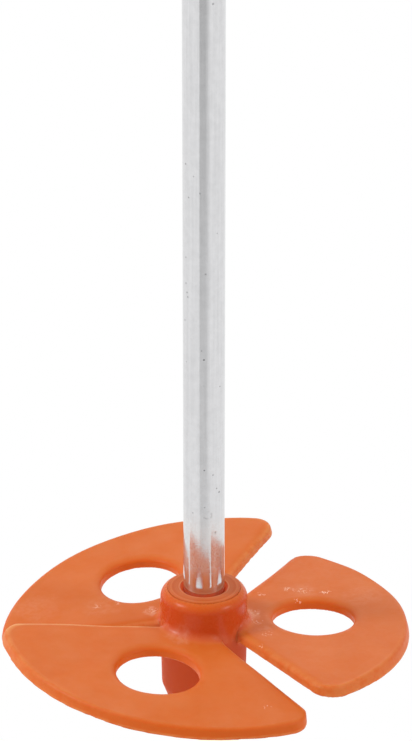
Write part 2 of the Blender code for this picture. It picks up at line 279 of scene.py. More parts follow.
def hub_field(radius, z):
    """Distance to the hub and nose before they are bored."""
    taper = HUB_RADIUS - BARREL_DRAFT - NOSE_RADIUS
    slope = np.hypot(NOSE_HEIGHT, taper)
    nose = ((radius - NOSE_RADIUS) * NOSE_HEIGHT - z * taper) / slope
    below = np.maximum((BLADE_LEVEL - z) / (BLADE_LEVEL - NOSE_HEIGHT), 0.0)
    side = np.maximum(radius - HUB_RADIUS + BARREL_DRAFT * below, nose)
    topped = rounded_corner(side, z - HUB_TOP, HUB_RIM_ROUND)
    return rounded_corner(topped, -z, NOSE_EDGE_ROUND)


def hexagon_field(x, y, across_flats):
    """Distance to a hexagonal column with one flat facing +X."""
    reach = np.full_like(x, -np.inf)
    for index in range(6):
        angle = index * pi / 3
        reach = np.maximum(reach, x * cos(angle) + y * sin(angle))
    return reach - across_flats / 2


def impeller_field(points):
    """Distance to the whole moulding, and how deep each point sits in an upper root fillet, from 0 to 1."""
    x, y, z = points
    radius = np.hypot(x, y)
    hub = hub_field(radius, z)
    solid = hub
    root = np.zeros_like(x)
    for blade in BLADES:
        solid = np.minimum(solid, blade_field(points, blade, hub))
        near_hub = np.clip(1.0 - hub / BLADE_ROOT_FILLET, 0.0, 1.0)
        near_blade = np.clip(1.0 - blade_field(points, blade) / BLADE_ROOT_FILLET, 0.0, 1.0)
        root = np.maximum(root, near_hub * near_blade * (z > BLADE_LEVEL))
    for wave_x, wave_y, start in RIPPLE_WAVES:
        solid = solid + RIPPLE_HEIGHT * np.sin(wave_x * x + wave_y * y + start)
    counterbore = np.maximum(radius - COUNTERBORE_RADIUS, WEB_TOP - z)
    pocket = np.maximum(hexagon_field(x, y, POCKET_ACROSS_FLATS), z - WEB_BOTTOM)
    cavities = np.minimum(np.minimum(counterbore, pocket), radius - THREAD_HOLE_RADIUS)
    return rounded_corner(solid, -cavities, CAVITY_EDGE_ROUND), root


def stretches(spans):
    """Grid lines from (start, end, step) spans that follow each other."""
    lines = []
    for start, end, step in spans:
        count = round((end - start) / step)
        lines.extend(start + (end - start) * index / count for index in range(count))
    lines.append(spans[-1][1])
    return np.array(lines)


def place_in_space(radius, angle, height):
    return np.stack((radius * np.cos(angle), radius * np.sin(angle), height))


def skin_vertices(values, active, radii, angles, heights):
    """One vertex per cell that the surface crosses, at the mean of the crossings on the cell's edges."""
    cell_r, cell_a, cell_h = np.nonzero(active)
    corners = {}
    for step_r, step_a, step_h in CELL_CORNERS:
        around = (cell_a + step_a) % len(angles)
        corners[step_r, step_a, step_h] = values[cell_r + step_r, around, cell_h + step_h]
    total = np.zeros((3, len(cell_r)))
    crossings = np.zeros(len(cell_r))
    for start, first in corners.items():
        for axis in range(3):
            if start[axis] == 1:
                continue
            end = tuple(1 if index == axis else start[index] for index in range(3))
            second = corners[end]
            crossed = (first < 0) != (second < 0)
            span = np.where(crossed, first - second, 1.0)
            share = np.where(crossed, first / span, 0.0)
            for index in range(3):
                step = share if index == axis else start[index]
                total[index] += np.where(crossed, step, 0.0)
            crossings += crossed
    inside_cell = total / crossings
    radius = np.interp(cell_r + inside_cell[0], np.arange(len(radii)), radii)
    angle = (cell_a + inside_cell[1]) * 2 * pi / len(angles)
    height = np.interp(cell_h + inside_cell[2], np.arange(len(heights)), heights)
    return place_in_space(radius, angle, height)


def skin_faces(inside, numbers):
    """A quad round every grid edge that the surface crosses, turned to face outwards."""
    count = inside.shape[1]
    quads = []
    r, a, h = np.nonzero(inside[:-1] != inside[1:])
    back = (a - 1) % count
    ring = (numbers[r, back, h - 1], numbers[r, a, h - 1], numbers[r, a, h], numbers[r, back, h])
    quads.append((ring, inside[r, a, h]))
    r, a, h = np.nonzero(inside != np.roll(inside, -1, axis=1))
    ring = (numbers[r - 1, a, h - 1], numbers[r - 1, a, h], numbers[r, a, h], numbers[r, a, h - 1])
    quads.append((ring, inside[r, a, h]))
    r, a, h = np.nonzero(inside[:, :, :-1] != inside[:, :, 1:])
    back = (a - 1) % count
    ring = (numbers[r - 1, back, h], numbers[r, back, h], numbers[r, a, h], numbers[r - 1, a, h])
    quads.append((ring, inside[r, a, h]))
    faces = []
    for ring, outward in quads:
        table = np.stack(ring, axis=1)
        table[~outward] = table[~outward][:, ::-1]
        faces.append(table)
    return np.concatenate(faces)


def field_slope(points):
    slope = np.zeros_like(points)
    for axis in range(3):
        ahead = points.copy()
        behind = points.copy()
        ahead[axis] += PROBE
        behind[axis] -= PROBE
        slope[axis] = (impeller_field(ahead)[0] - impeller_field(behind)[0]) / (2 * PROBE)
    return slope


def new_piece(name, mesh, node):
    piece = bpy.data.objects.new(name, mesh)
    bpy.context.scene.collection.objects.link(piece)
    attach(piece, "root")
    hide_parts(node)
    return piece


def add_values(mesh, name, values):
    """One number per vertex that a material can read."""
    mesh.attributes.new(name, "FLOAT", "POINT").data.foreach_set("value", values.astype(np.float32))


def make_impeller():
    """The moulding's skin: its field's zero surface on a grid round the axis, settled onto that surface."""
    radii = stretches(SKIN_RADII)
    heights = stretches(SKIN_HEIGHTS)
    angles = np.arange(SKIN_TURN_STEPS) * 2 * pi / SKIN_TURN_STEPS
    grid = np.meshgrid(radii, angles, heights, indexing="ij")
    values = impeller_field(place_in_space(*grid))[0]
    inside = values < 0
    mixed = np.zeros((len(radii) - 1, len(angles), len(heights) - 1), int)
    for step_r, step_a, step_h in CELL_CORNERS:
        turned = np.roll(inside, -step_a, axis=1)
        last_r = len(radii) - 1 + step_r
        last_h = len(heights) - 1 + step_h
        mixed += turned[step_r:last_r, :, step_h:last_h]
    active = (mixed > 0) & (mixed < len(CELL_CORNERS))
    numbers = np.full(active.shape, -1)
    numbers[active] = np.arange(np.count_nonzero(active))
    points = skin_vertices(values, active, radii, angles, heights)
    for _ in range(SETTLE_ROUNDS):
        slope = field_slope(points)
        steepness = np.maximum((slope**2).sum(axis=0), LEAST_SLOPE_SQUARED)
        points -= impeller_field(points)[0] * slope / steepness
    faces = skin_faces(inside, numbers)
    slope = field_slope(points)
    normals = slope / np.maximum(np.linalg.norm(slope, axis=0), LEAST_SLOPE)
    mesh = bpy.data.meshes.new("impeller_skin")
    mesh.from_pydata((points.T * MM).tolist(), [], faces.tolist())
    mesh.polygons.foreach_set("use_smooth", [True] * len(mesh.polygons))
    add_values(mesh, "root_fillet", impeller_field(points)[1])
    add_values(mesh, "edge_wear_and_light", edge_wear_and_light(points))
    # level_top marks the upward faces, which take the painted sheen and which the painted wall colour
    # leaves out
    level_top = np.interp(normals[2], LEVEL_TOP, (0.0, 1.0))
    add_values(mesh, "level_top", level_top)
    add_values(mesh, "top_sheen", level_top * sheen_cover(points))
    mesh.normals_split_custom_set_from_vertices(normals.T.tolist())
    return new_piece("impeller_skin", mesh, "impeller")


def lofted_mesh(name, rings, joined_ends):
    """A tube through rings of points. Its ends are joined to each other, or else capped."""
    steps = len(rings[0])
    points = [tuple(value * MM for value in point) for ring in rings for point in ring]
    faces = []
    last = len(rings) if joined_ends else len(rings) - 1
    for level in range(last):
        lower = level * steps
        upper = (level + 1) % len(rings) * steps
        for step in range(steps):
            after = (step + 1) % steps
            faces.append((lower + step, lower + after, upper + after, upper + step))
    if not joined_ends:
        faces.append(tuple(range(steps - 1, -1, -1)))
        top = (len(rings) - 1) * steps
        faces.append(tuple(range(top, top + steps)))
    mesh = bpy.data.meshes.new(name)
    mesh.from_pydata(points, [], faces)
    mesh.polygons.foreach_set("use_smooth", [True] * len(mesh.polygons))
    mesh.set_sharp_from_angle(angle=SHARP_ANGLE)
    return mesh


def ring_of_points(height, radius_at, steps):
    angles = [2 * pi * step / steps for step in range(steps)]
    return [(radius_at(angle) * cos(angle), radius_at(angle) * sin(angle), height) for angle in angles]


def thread_radius(height):
    """Radius along a helical V thread with flattened crests and roots, chamfered at its lower end."""

    def at(angle):
        phase = (height / THREAD_PITCH - angle / (2 * pi)) % 1.0
        rise = 1.0 - abs(2 * phase - 1.0)
        crest = min(1.0, max(0.0, THREAD_FLANK_SLOPE * rise - THREAD_ROOT_FLAT))
        limit = THREAD_RADIUS - THREAD_CHAMFER + (height - THREAD_END)
        return min(THREAD_ROOT_RADIUS + crest * (THREAD_RADIUS - THREAD_ROOT_RADIUS), limit)

    return at


def shank_radius(blank):
    """Radius of the hexagonal shank, whose corners are trimmed to the blank."""

    def at(angle):
        folded = (angle + pi / 6) % (pi / 3) - pi / 6
        return min(blank, SHANK_FLAT_RADIUS / cos(folded))

    return at


def make_shaft():
    """The bar with its threaded spigot below and its hexagonal drill shank above."""

    def plain(radius):
        return lambda angle: radius

    rings = []
    thread_top = SHOULDER_HEIGHT - THREAD_RELIEF
    thread_rings = int((thread_top - THREAD_END) / THREAD_PITCH * RINGS_PER_PITCH)
    for index in range(thread_rings + 1):
        height = THREAD_END + (thread_top - THREAD_END) * index / thread_rings
        rings.append((height, thread_radius(height)))
    rings += [
        (thread_top + THREAD_CHAMFER, plain(THREAD_ROOT_RADIUS)),
        (SHOULDER_HEIGHT, plain(THREAD_ROOT_RADIUS)),
        (SHOULDER_HEIGHT, plain(SHAFT_RADIUS - SHOULDER_CHAMFER)),
        (SHOULDER_HEIGHT + SHOULDER_CHAMFER, plain(SHAFT_RADIUS)),
        (SHANK_BOTTOM - (SHAFT_RADIUS - SHANK_BLANK_RADIUS), plain(SHAFT_RADIUS)),
        (SHANK_BOTTOM, plain(SHANK_BLANK_RADIUS)),
        (SHANK_BOTTOM + SHANK_SHOULDER_RISE, shank_radius(SHANK_BLANK_RADIUS)),
        (SHAFT_TOP - SHANK_END_CHAMFER, shank_radius(SHANK_BLANK_RADIUS)),
        (SHAFT_TOP, shank_radius(SHANK_BLANK_RADIUS - SHANK_END_CHAMFER)),
    ]
    points = [ring_of_points(height, radius_at, SHAFT_TURN_STEPS) for height, radius_at in rings]
    return new_piece("shaft_bar", lofted_mesh("shaft_bar", points, joined_ends=False), "shaft")


def corner_arc(centre, radius, start_deg, end_deg):
    """Points (radius, height) along a rounded corner of a turned profile."""
    points = []
    for step in range(ROUND_STEPS + 1):
        angle = radians(start_deg + (end_deg - start_deg) * step / ROUND_STEPS)
        points.append((centre[0] + radius * cos(angle), centre[1] + radius * sin(angle)))
    return points


def make_bush():
    """The ring round the shaft, with its rounded rim and its mouth."""
    rim = BUSH_RIM_ROUND
    lip = MOUTH_ROUND
    foot = BUSH_FOOT_ROUND
    profile = []
    profile += corner_arc((BUSH_OUTER - foot, BUSH_BOTTOM + foot), foot, -90, 0)
    profile += corner_arc((BUSH_OUTER - rim, BUSH_TOP - rim), rim, 0, 90)
    profile += corner_arc((BUSH_MOUTH + lip, BUSH_TOP - lip), lip, 90, 180)
    profile += [(BUSH_BORE, BUSH_TOP - MOUTH_DEPTH)]
    profile += corner_arc((BUSH_BORE + foot, BUSH_BOTTOM + foot), foot, 180, 270)
    rings = []
    for radius, height in profile:
        rings.append(ring_of_points(height, lambda angle, size=radius: size, BUSH_TURN_STEPS))
    mesh = lofted_mesh("bush_ring", rings, joined_ends=True)
    return new_piece("bush_ring", mesh, "hub_bush")


# Height in metres of a full step of a bump's pattern, and the level that noise swings round
BUMP_DISTANCE = 0.0002
NOISE_MIDDLE = 0.5


class Nodes:
    """Short ways to add the nodes of one material or world."""

    def __init__(self, tree):
        self.tree = tree

    def add(self, kind, settings=None, inputs=None):
        node = self.tree.nodes.new(kind)
        for name, value in (settings or {}).items():
            setattr(node, name, value)
        for name, value in (inputs or {}).items():
            self.feed(node.inputs[name], value)
        return node

    def feed(self, socket, value):
        if isinstance(value, bpy.types.NodeSocket):
            self.tree.links.new(value, socket)
        else:
            socket.default_value = value

    def maths(self, operation, first, second=0.0):
        inputs = {0: first, 1: second}
        return self.add("ShaderNodeMath", {"operation": operation}, inputs).outputs[0]

    def times(self, first, second):
        return self.maths("MULTIPLY", first, second)

    def vector(self, operation, first, second, output="Vector"):
        settings = {"operation": operation}
        return self.add("ShaderNodeVectorMath", settings, {0: first, 1: second}).outputs[output]

    def noise(self, place, scale, detail=3.0, roughness=0.55):
        inputs = {"Vector": place, "Scale": scale, "Detail": detail, "Roughness": roughness}
        return self.add("ShaderNodeTexNoise", None, inputs).outputs["Fac"]

    def remap(self, value, low, high, to_low=0.0, to_high=1.0, smooth=True):
        settings = {"interpolation_type": "SMOOTHSTEP" if smooth else "LINEAR", "clamp": True}
        inputs = {"Value": value, "From Min": low, "From Max": high, "To Min": to_low, "To Max": to_high}
        return self.add("ShaderNodeMapRange", settings, inputs).outputs["Result"]

    def pattern(self, place, scale, low, high, to_low=0.0, to_high=1.0, smooth=True, **fineness):
        """Noise whose levels from low to high are spread over another range."""
        return self.remap(self.noise(place, scale, **fineness), low, high, to_low, to_high, smooth)

    def blend(self, share, first, second):
        """Two colours mixed by a share. Numbers 6, 7 and 2 are the mix node's colour sockets."""
        settings = {"data_type": "RGBA", "clamp_factor": True}
        return self.add("ShaderNodeMix", settings, {0: share, 6: first, 7: second}).outputs[2]

    def place_in_mm(self):
        """Where a point is in the part's frame, in millimetres."""
        spot = self.add("ShaderNodeTexCoord").outputs["Object"]
        return self.vector("MULTIPLY", spot, (1.0 / MM, 1.0 / MM, 1.0 / MM))

    def height(self, place):
        return self.add("ShaderNodeSeparateXYZ", None, {"Vector": place}).outputs["Z"]

    def from_axis(self, place):
        level = self.vector("MULTIPLY", place, (1.0, 1.0, 0.0))
        return self.vector("LENGTH", level, level, "Value")

    def attribute(self, name):
        """A number that the mesh holds at each vertex."""
        return self.add("ShaderNodeAttribute", {"attribute_name": name}).outputs["Fac"]

    def bump(self, height, strength):
        inputs = {"Strength": strength, "Distance": BUMP_DISTANCE, "Height": height}
        return self.add("ShaderNodeBump", None, inputs).outputs["Normal"]


def new_material(name):
    material = bpy.data.materials.new(name)
    material.use_nodes = True
    tree = material.node_tree
    return material, Nodes(tree), tree.nodes["Principled BSDF"]


def shades(tint, factors):
    """A darker and a lighter shade of a colour."""
    return [tuple(channel * factor for channel in tint) + (1.0,) for factor in factors]


# Colours of the plastic, as linear light
IMPELLER_ORANGE = (0.655, 0.128, 0.011)
# Colour of the walls, set apart from the tops as painted light for how light falls on them
PAINTED_LIGHT_WALL_ORANGE = (0.68, 0.113, 0.008, 1.0)
INSERT_ORANGE = (0.56, 0.098, 0.012)
# Bright red painted in the bush's mouth: a painted glow for light through the plastic in a shaded recess
MOUTH_PAINTED_GLOW = (0.85, 0.09, 0.008, 1.0)
# Pale ring of painted highlight on the mouth's rounded lip
LIP_HIGHLIGHT = (0.80, 0.26, 0.11, 1.0)
# Pale colour of the painted sheen on the level tops, also the colour of the bush's turned rings
SHEEN_AND_RING_ORANGE = (0.73, 0.24, 0.09, 1.0)
PALE_PLASTIC = (0.72, 0.19, 0.05, 1.0)
# Deeper red of the painted shade on the hub's sides
HUB_SHADE_RED = (0.62, 0.082, 0.014, 1.0)
HAZE = (0.80, 0.30, 0.15, 1.0)
SCUFF_WHITE = (0.95, 0.66, 0.50, 1.0)
# Pale edge colour, partly wear and partly painted highlight
WORN_AND_LIT_EDGE = (0.86, 0.46, 0.17, 1.0)

# Painted shade on the hub's sides, a deeper red below its rim: radii and heights between which it fades out
HUB_POLISH_AND_SHADE_RADII = (10.7, 12.3)
HUB_SHADE_HEIGHTS = (27.3, 29.2)
HUB_SHADE_AT_RIM = 0.15
HUB_SMOOTHNESS = 0.18
POLISH_HEIGHTS = (16.0, 22.0)

# Radii between which the bush's mouth gives way to its top
MOUTH_RADII = (5.7, 5.9)
LIP_RADIUS = 6.0

# Patterns in the plastic: scales per millimetre, and which levels of the noise turn into which shares
PLASTIC_SHADES = (0.98, 1.02)
PLASTIC_ROUGHNESS = (0.40, 0.48)
PLASTIC_GRAIN = {"scale": 2.6, "detail": 3.0}
PLASTIC_BUMP = 0.06
CLOUD = {"scale": 0.07, "low": 0.32, "high": 0.68}
MOTTLE = {"scale": 0.9, "detail": 4.0, "low": 0.3, "high": 0.7}
MOTTLE_SHARE = 0.08
FLOW = {"scale": 0.13, "detail": 5.0, "roughness": 0.6, "low": 0.3, "high": 0.7, "smooth": False}
FLOW_SHARES = {"to_low": 0.04, "to_high": 0.31}
EDGE_PATCHES = {"scale": 0.4, "detail": 3.0, "low": 0.3, "high": 0.6, "to_low": 0.45}
RINGS = {"scale": 1.4, "detail": 2.0, "low": 0.4, "high": 0.65, "to_high": 0.4}
CURLS = {"scale": 0.55, "detail": 1.0}
CURL_WIDTHS = (0.006, 0.035)
BREAKS = {"scale": 0.9, "detail": 2.0, "low": 0.41, "high": 0.52}
SPECKS = {"scale": 1.6, "detail": 1.0, "low": 0.61, "high": 0.69}
STREAKS = {"scale": 0.7, "detail": 4.0, "roughness": 0.6, "low": 0.36, "high": 0.64, "to_low": 0.25}
HAZE_DEPTHS = (0.2, 0.5)
HAZE_SHARE = 0.13
LIP_HIGHLIGHT_WIDTHS = (0.05, 0.2)
LIP_HIGHLIGHT_SHARE = 0.5

# How the plastic takes light, by the names of the shader's inputs
PLASTIC_LIGHT = {
    "IOR": 1.46,
    "Specular IOR Level": 0.19,
    "Subsurface Weight": 0.25,
    "Subsurface Radius": (1.0, 0.3, 0.12),
    "Subsurface Scale": 0.0015,
}

# Whitish stress marks on the moulding: centre, radius and strength
MARKS = (
    ((22.6, 16.6, 19.1), 1.9, 1.0),
    ((26.4, 15.9, 19.1), 2.2, 0.9),
    ((31.4, 14.6, 19.2), 1.7, 1.0),
    ((24.3, 10.4, 19.5), 1.3, 1.0),
    ((30.6, 5.4, 19.8), 1.0, 0.8),
    ((15.4, 13.9, 19.3), 1.2, 1.0),
    ((12.2, 3.0, 20.2), 2.6, 0.6),
    ((12.4, -2.2, 20.6), 2.2, 0.5),
    ((14.6, -9.7, 21.0), 1.8, 0.5),
    ((12.6, -16.1, 21.4), 1.0, 0.6),
    ((-20.2, 13.0, 18.7), 1.6, 0.5),
    ((-25.6, 12.6, 18.5), 1.4, 0.45),
    ((-12.4, 6.9, 19.4), 2.0, 0.5),
    ((11.8, -39.7, 18.3), 1.3, 0.5),
)

# Milky rubbed places: centre, radius and strength
FILMS = (
    ((11.8, 1.2, 20.6), 3.4, 0.30),
    ((13.8, -6.4, 21.0), 2.6, 0.10),
    ((-12.9, 6.9, 19.4), 2.4, 0.26),
    ((-24.5, 12.0, 18.7), 6.0, 0.06),
    ((-40.3, 15.0, 17.4), 8.0, 0.05),
    ((25.5, 16.0, 19.1), 5.0, 0.07),
    ((39.8, 12.0, 19.2), 7.0, 0.06),
    ((-6.8, -9.4, 20.8), 4.2, 0.12),
)

# Drift that takes marks out of round, as scale and reach, and the share of a spot at full strength
MARK_DRIFT = (0.6, 2.0)
FILM_DRIFT = (0.3, 6.0)
DRIFT_DETAIL = 2.0
SPOT_CORE = 0.4


def strayed_place(nodes, place, scale, reach):
    """A place pushed about by noise, so that round marks lose their shape."""
    inputs = {"Vector": place, "Scale": scale, "Detail": DRIFT_DETAIL}
    drift = nodes.add("ShaderNodeTexNoise", None, inputs).outputs["Color"]
    pushed = nodes.vector("SUBTRACT", drift, (NOISE_MIDDLE, NOISE_MIDDLE, NOISE_MIDDLE))
    return nodes.vector("ADD", place, nodes.vector("MULTIPLY", pushed, (reach, reach, reach)))


def spots(nodes, place, table):
    """Soft spots round the centres in a table of (centre, radius, strength)."""
    mask = None
    for centre, radius, strength in table:
        away = nodes.vector("DISTANCE", place, centre, "Value")
        spot = nodes.remap(away, radius, SPOT_CORE * radius, 0.0, strength)
        mask = spot if mask is None else nodes.maths("MAXIMUM", mask, spot)
    return mask


def stress_marks(nodes, place):
    """Fine whitish curls and specks at the marks."""
    area = spots(nodes, strayed_place(nodes, place, *MARK_DRIFT), MARKS)
    swirl = nodes.maths("SUBTRACT", nodes.noise(place, **CURLS), NOISE_MIDDLE)
    curls = nodes.remap(nodes.maths("ABSOLUTE", swirl), *CURL_WIDTHS, 1.0, 0.0)
    broken = nodes.times(curls, nodes.pattern(place, **BREAKS))
    return nodes.times(area, nodes.maths("MAXIMUM", broken, nodes.pattern(place, **SPECKS)))


def milky_film(nodes, place):
    """Pale, streaky film at the rubbed places."""
    area = spots(nodes, strayed_place(nodes, place, *FILM_DRIFT), FILMS)
    return nodes.times(area, nodes.pattern(place, **STREAKS))


def hub_polish_and_shade(nodes, place):
    """The hub's polish, from -1 on the barrel to 1 above the blades, and its share of painted shade, a
    deeper red on its sides.
    """
    height = nodes.height(place)
    near = nodes.remap(nodes.from_axis(place), *HUB_POLISH_AND_SHADE_RADII, 1.0, 0.0)
    polish = nodes.times(near, nodes.remap(height, *POLISH_HEIGHTS, -1.0, 1.0))
    return polish, nodes.times(near, nodes.remap(height, *HUB_SHADE_HEIGHTS, 1.0, HUB_SHADE_AT_RIM))


def moulding_looks(nodes, place, colour, rough):
    """Painted light on the impeller: a wall colour apart from the tops, a painted sheen on the tops,
    painted shade on the hub's sides and pale edges that are partly wear and partly painted highlight; also
    its glossier hub, haze and scuffs.
    """
    # Painted light: the walls take their own colour for how light falls on them, and the level tops keep
    # the base
    colour = nodes.blend(nodes.attribute("level_top"), PAINTED_LIGHT_WALL_ORANGE, colour)
    # Painted sheen: a paler colour on the level tops that stands in for their reflection, broken up by the
    # flow pattern
    flow = nodes.pattern(place, **FLOW, **FLOW_SHARES)
    colour = nodes.blend(nodes.times(nodes.attribute("top_sheen"), flow), colour, SHEEN_AND_RING_ORANGE)
    polish, hub_shade = hub_polish_and_shade(nodes, place)
    # Painted shade: a deeper red on the hub's sides, less of it at the rim
    colour = nodes.blend(hub_shade, colour, HUB_SHADE_RED)
    rough = nodes.maths("SUBTRACT", rough, nodes.times(polish, HUB_SMOOTHNESS))
    haze = nodes.remap(nodes.attribute("root_fillet"), *HAZE_DEPTHS, 0.0, HAZE_SHARE)
    colour = nodes.blend(haze, colour, HAZE)
    colour = nodes.blend(milky_film(nodes, place), colour, SCUFF_WHITE)
    colour = nodes.blend(stress_marks(nodes, place), colour, SCUFF_WHITE)
    # Pale edges: partly wear, partly a painted highlight on the crests and flash line and painted light on
    # the walls
    pale_edges = nodes.times(nodes.attribute("edge_wear_and_light"), nodes.pattern(place, **EDGE_PATCHES))
    return nodes.blend(pale_edges, colour, WORN_AND_LIT_EDGE), rough


def insert_looks(nodes, place, colour):
    """Rings round the axis, a painted glow of bright red in the mouth and a painted highlight on the lip
    round it.
    """
    reach = nodes.from_axis(place)
    outwards = nodes.add("ShaderNodeCombineXYZ", None, {"X": reach}).outputs[0]
    colour = nodes.blend(nodes.pattern(outwards, **RINGS), colour, SHEEN_AND_RING_ORANGE)
    # Painted glow: bright red in the mouth, which lies in shade
    colour = nodes.blend(nodes.remap(reach, *MOUTH_RADII, 1.0, 0.0), colour, MOUTH_PAINTED_GLOW)
    # Painted highlight: a pale ring on the lip round the mouth
    off_lip = nodes.maths("ABSOLUTE", nodes.maths("SUBTRACT", reach, LIP_RADIUS))
    return nodes.blend(nodes.remap(off_lip, *LIP_HIGHLIGHT_WIDTHS, LIP_HIGHLIGHT_SHARE, 0.0), colour, LIP_HIGHLIGHT)


def make_plastic(name, tint, moulding):
    """Satin moulded polypropylene: slightly cloudy orange with a fine grain."""
    material, nodes, shader = new_material(name)
    place = nodes.place_in_mm()
    mottle = nodes.pattern(place, **MOTTLE)
    colour = nodes.blend(nodes.pattern(place, **CLOUD), *shades(tint, PLASTIC_SHADES))
    colour = nodes.blend(nodes.times(mottle, MOTTLE_SHARE), colour, PALE_PLASTIC)
    rough = nodes.remap(mottle, 0.0, 1.0, *PLASTIC_ROUGHNESS)
    if moulding:
        colour, rough = moulding_looks(nodes, place, colour, rough)
    else:
        colour = insert_looks(nodes, place, colour)
    nodes.feed(shader.inputs["Base Color"], colour)
    nodes.feed(shader.inputs["Roughness"], rough)
    nodes.feed(shader.inputs["Normal"], nodes.bump(nodes.noise(place, **PLASTIC_GRAIN), PLASTIC_BUMP))
    for socket, value in PLASTIC_LIGHT.items():
        shader.inputs[socket].default_value = value
    return material


# Steel of the bar and of the fasteners: colour as linear light, and lowest and highest roughness
BAR_STEEL = ((0.69, 0.69, 0.70), 0.07, 0.15)
FASTENER_STEEL = ((0.60, 0.60, 0.60), 0.25, 0.38)

# Patterns in the steel: scales per millimetre, and which levels of the noise turn into which shares
STEEL_SHADES = (0.92, 1.06)
STEEL_BUMP = 0.05
ALONG_BAR = (1.0, 1.0, 0.03)
STEEL_STREAKS = {"scale": 1.3, "detail": 4.0, "roughness": 0.6, "low": 0.3, "high": 0.7}
STEEL_PATCHES = {"scale": 0.45, "detail": 5.0, "roughness": 0.65, "low": 0.3, "high": 0.7}
STREAK_SHARE = 0.5
CRYSTALS = {"scale": 1.9, "detail": 3.0, "roughness": 0.6}
CRYSTAL_LEVELS = (0.3, 0.7)
CRYSTAL_DEPTH = 0.5
RIDGES = {"scale": 2.2, "detail": 3.0}
PIT_DEPTH = 0.6
PIT_CELLS = 0.28
PIT_SIZES = (0.035, 0.075)
PITTED_CELLS = (0.6, 0.7)
PIT_SHARE = 0.75
STAIN_DRIFT = (1.2, 0.8)
STAIN_WIDTHS = (0.05, 0.35)
STAIN_SHARE = 0.3
STAIN_BREAKS = {"scale": 1.3, "detail": 2.0, "low": 0.4, "high": 0.62}

# Fine grain and dust that the bar has near its foot: heights between which they fade, patterns and depth
GRAIN_HEIGHTS = (45.0, 75.0)
GRAIN = {"scale": 3.4, "detail": 1.0}
GRAIN_DEPTH = 1.2
DUST_STARTS = (32.5, 37.0)
DUST_ENDS = (46.0, 54.0)
DUST_BLOOM = {"scale": 7.0, "detail": 0.0, "low": 0.3, "high": 0.7, "to_low": 0.12, "to_high": 0.48}
DUST_SPECKS = {"scale": 2.4, "detail": 1.0, "low": 0.66, "high": 0.74, "to_high": 0.6}
BARE_METALLIC = 0.96
DUSTY_METALLIC = 0.1
DUST_COLOUR = (0.80, 0.77, 0.74, 1.0)
PIT_COLOUR = (0.16, 0.16, 0.16, 1.0)

# Pits on the bar's front: centre, radius and strength
PITS = (
    ((-0.4, -5.0, 92.2), 0.3, 0.9),
    ((-4.0, -3.0, 107.5), 0.3, 0.6),
    ((0.0, -5.0, 113.9), 0.35, 0.4),
    ((3.3, -3.7, 57.0), 0.35, 0.7),
    ((2.7, -4.2, 58.2), 0.25, 0.6),
    ((1.8, -4.7, 62.0), 0.35, 0.4),
    ((2.4, -4.4, 46.5), 0.4, 0.8),
    ((-3.0, -4.0, 51.8), 0.25, 0.5),
    ((-1.3, -4.8, 133.9), 0.25, 0.5),
    ((-2.7, -4.2, 137.9), 0.25, 0.4),
    ((2.8, -4.2, 123.7), 0.25, 0.4),
    ((1.7, -4.7, 179.2), 0.4, 0.5),
)
STAIN_CENTRE = (0.5, -5.0, 51.4)
STAIN_RADIUS = 0.95


def steel_pits(nodes, place):
    """Sparse dark pits, the pits on the bar's front and the faint ring of a dried drop."""
    cells = nodes.add("ShaderNodeTexVoronoi", None, {"Vector": place, "Scale": PIT_CELLS})
    near = nodes.remap(cells.outputs["Distance"], *PIT_SIZES, 1.0, 0.0)
    pick = nodes.add("ShaderNodeSeparateColor", None, {"Color": cells.outputs["Color"]}).outputs[0]
    pits = nodes.times(near, nodes.remap(pick, *PITTED_CELLS, 0.0, PIT_SHARE))
    pits = nodes.maths("MAXIMUM", pits, spots(nodes, place, PITS))
    strayed = strayed_place(nodes, place, *STAIN_DRIFT)
    from_stain = nodes.vector("DISTANCE", strayed, STAIN_CENTRE, "Value")
    off_ring = nodes.maths("ABSOLUTE", nodes.maths("SUBTRACT", from_stain, STAIN_RADIUS))
    stain = nodes.remap(off_ring, *STAIN_WIDTHS, STAIN_SHARE, 0.0)
    return nodes.maths("MAXIMUM", pits, nodes.times(stain, nodes.pattern(place, **STAIN_BREAKS)))


def foot_dust(nodes, place, height):
    """Pale dust on a stretch of the bar above its foot."""
    bloom = nodes.pattern(place, **DUST_BLOOM)
    dust = nodes.maths("MAXIMUM", bloom, nodes.pattern(place, **DUST_SPECKS))
    dust = nodes.times(dust, nodes.remap(height, *DUST_STARTS))
    return nodes.times(dust, nodes.remap(height, *DUST_ENDS, 1.0, 0.0))


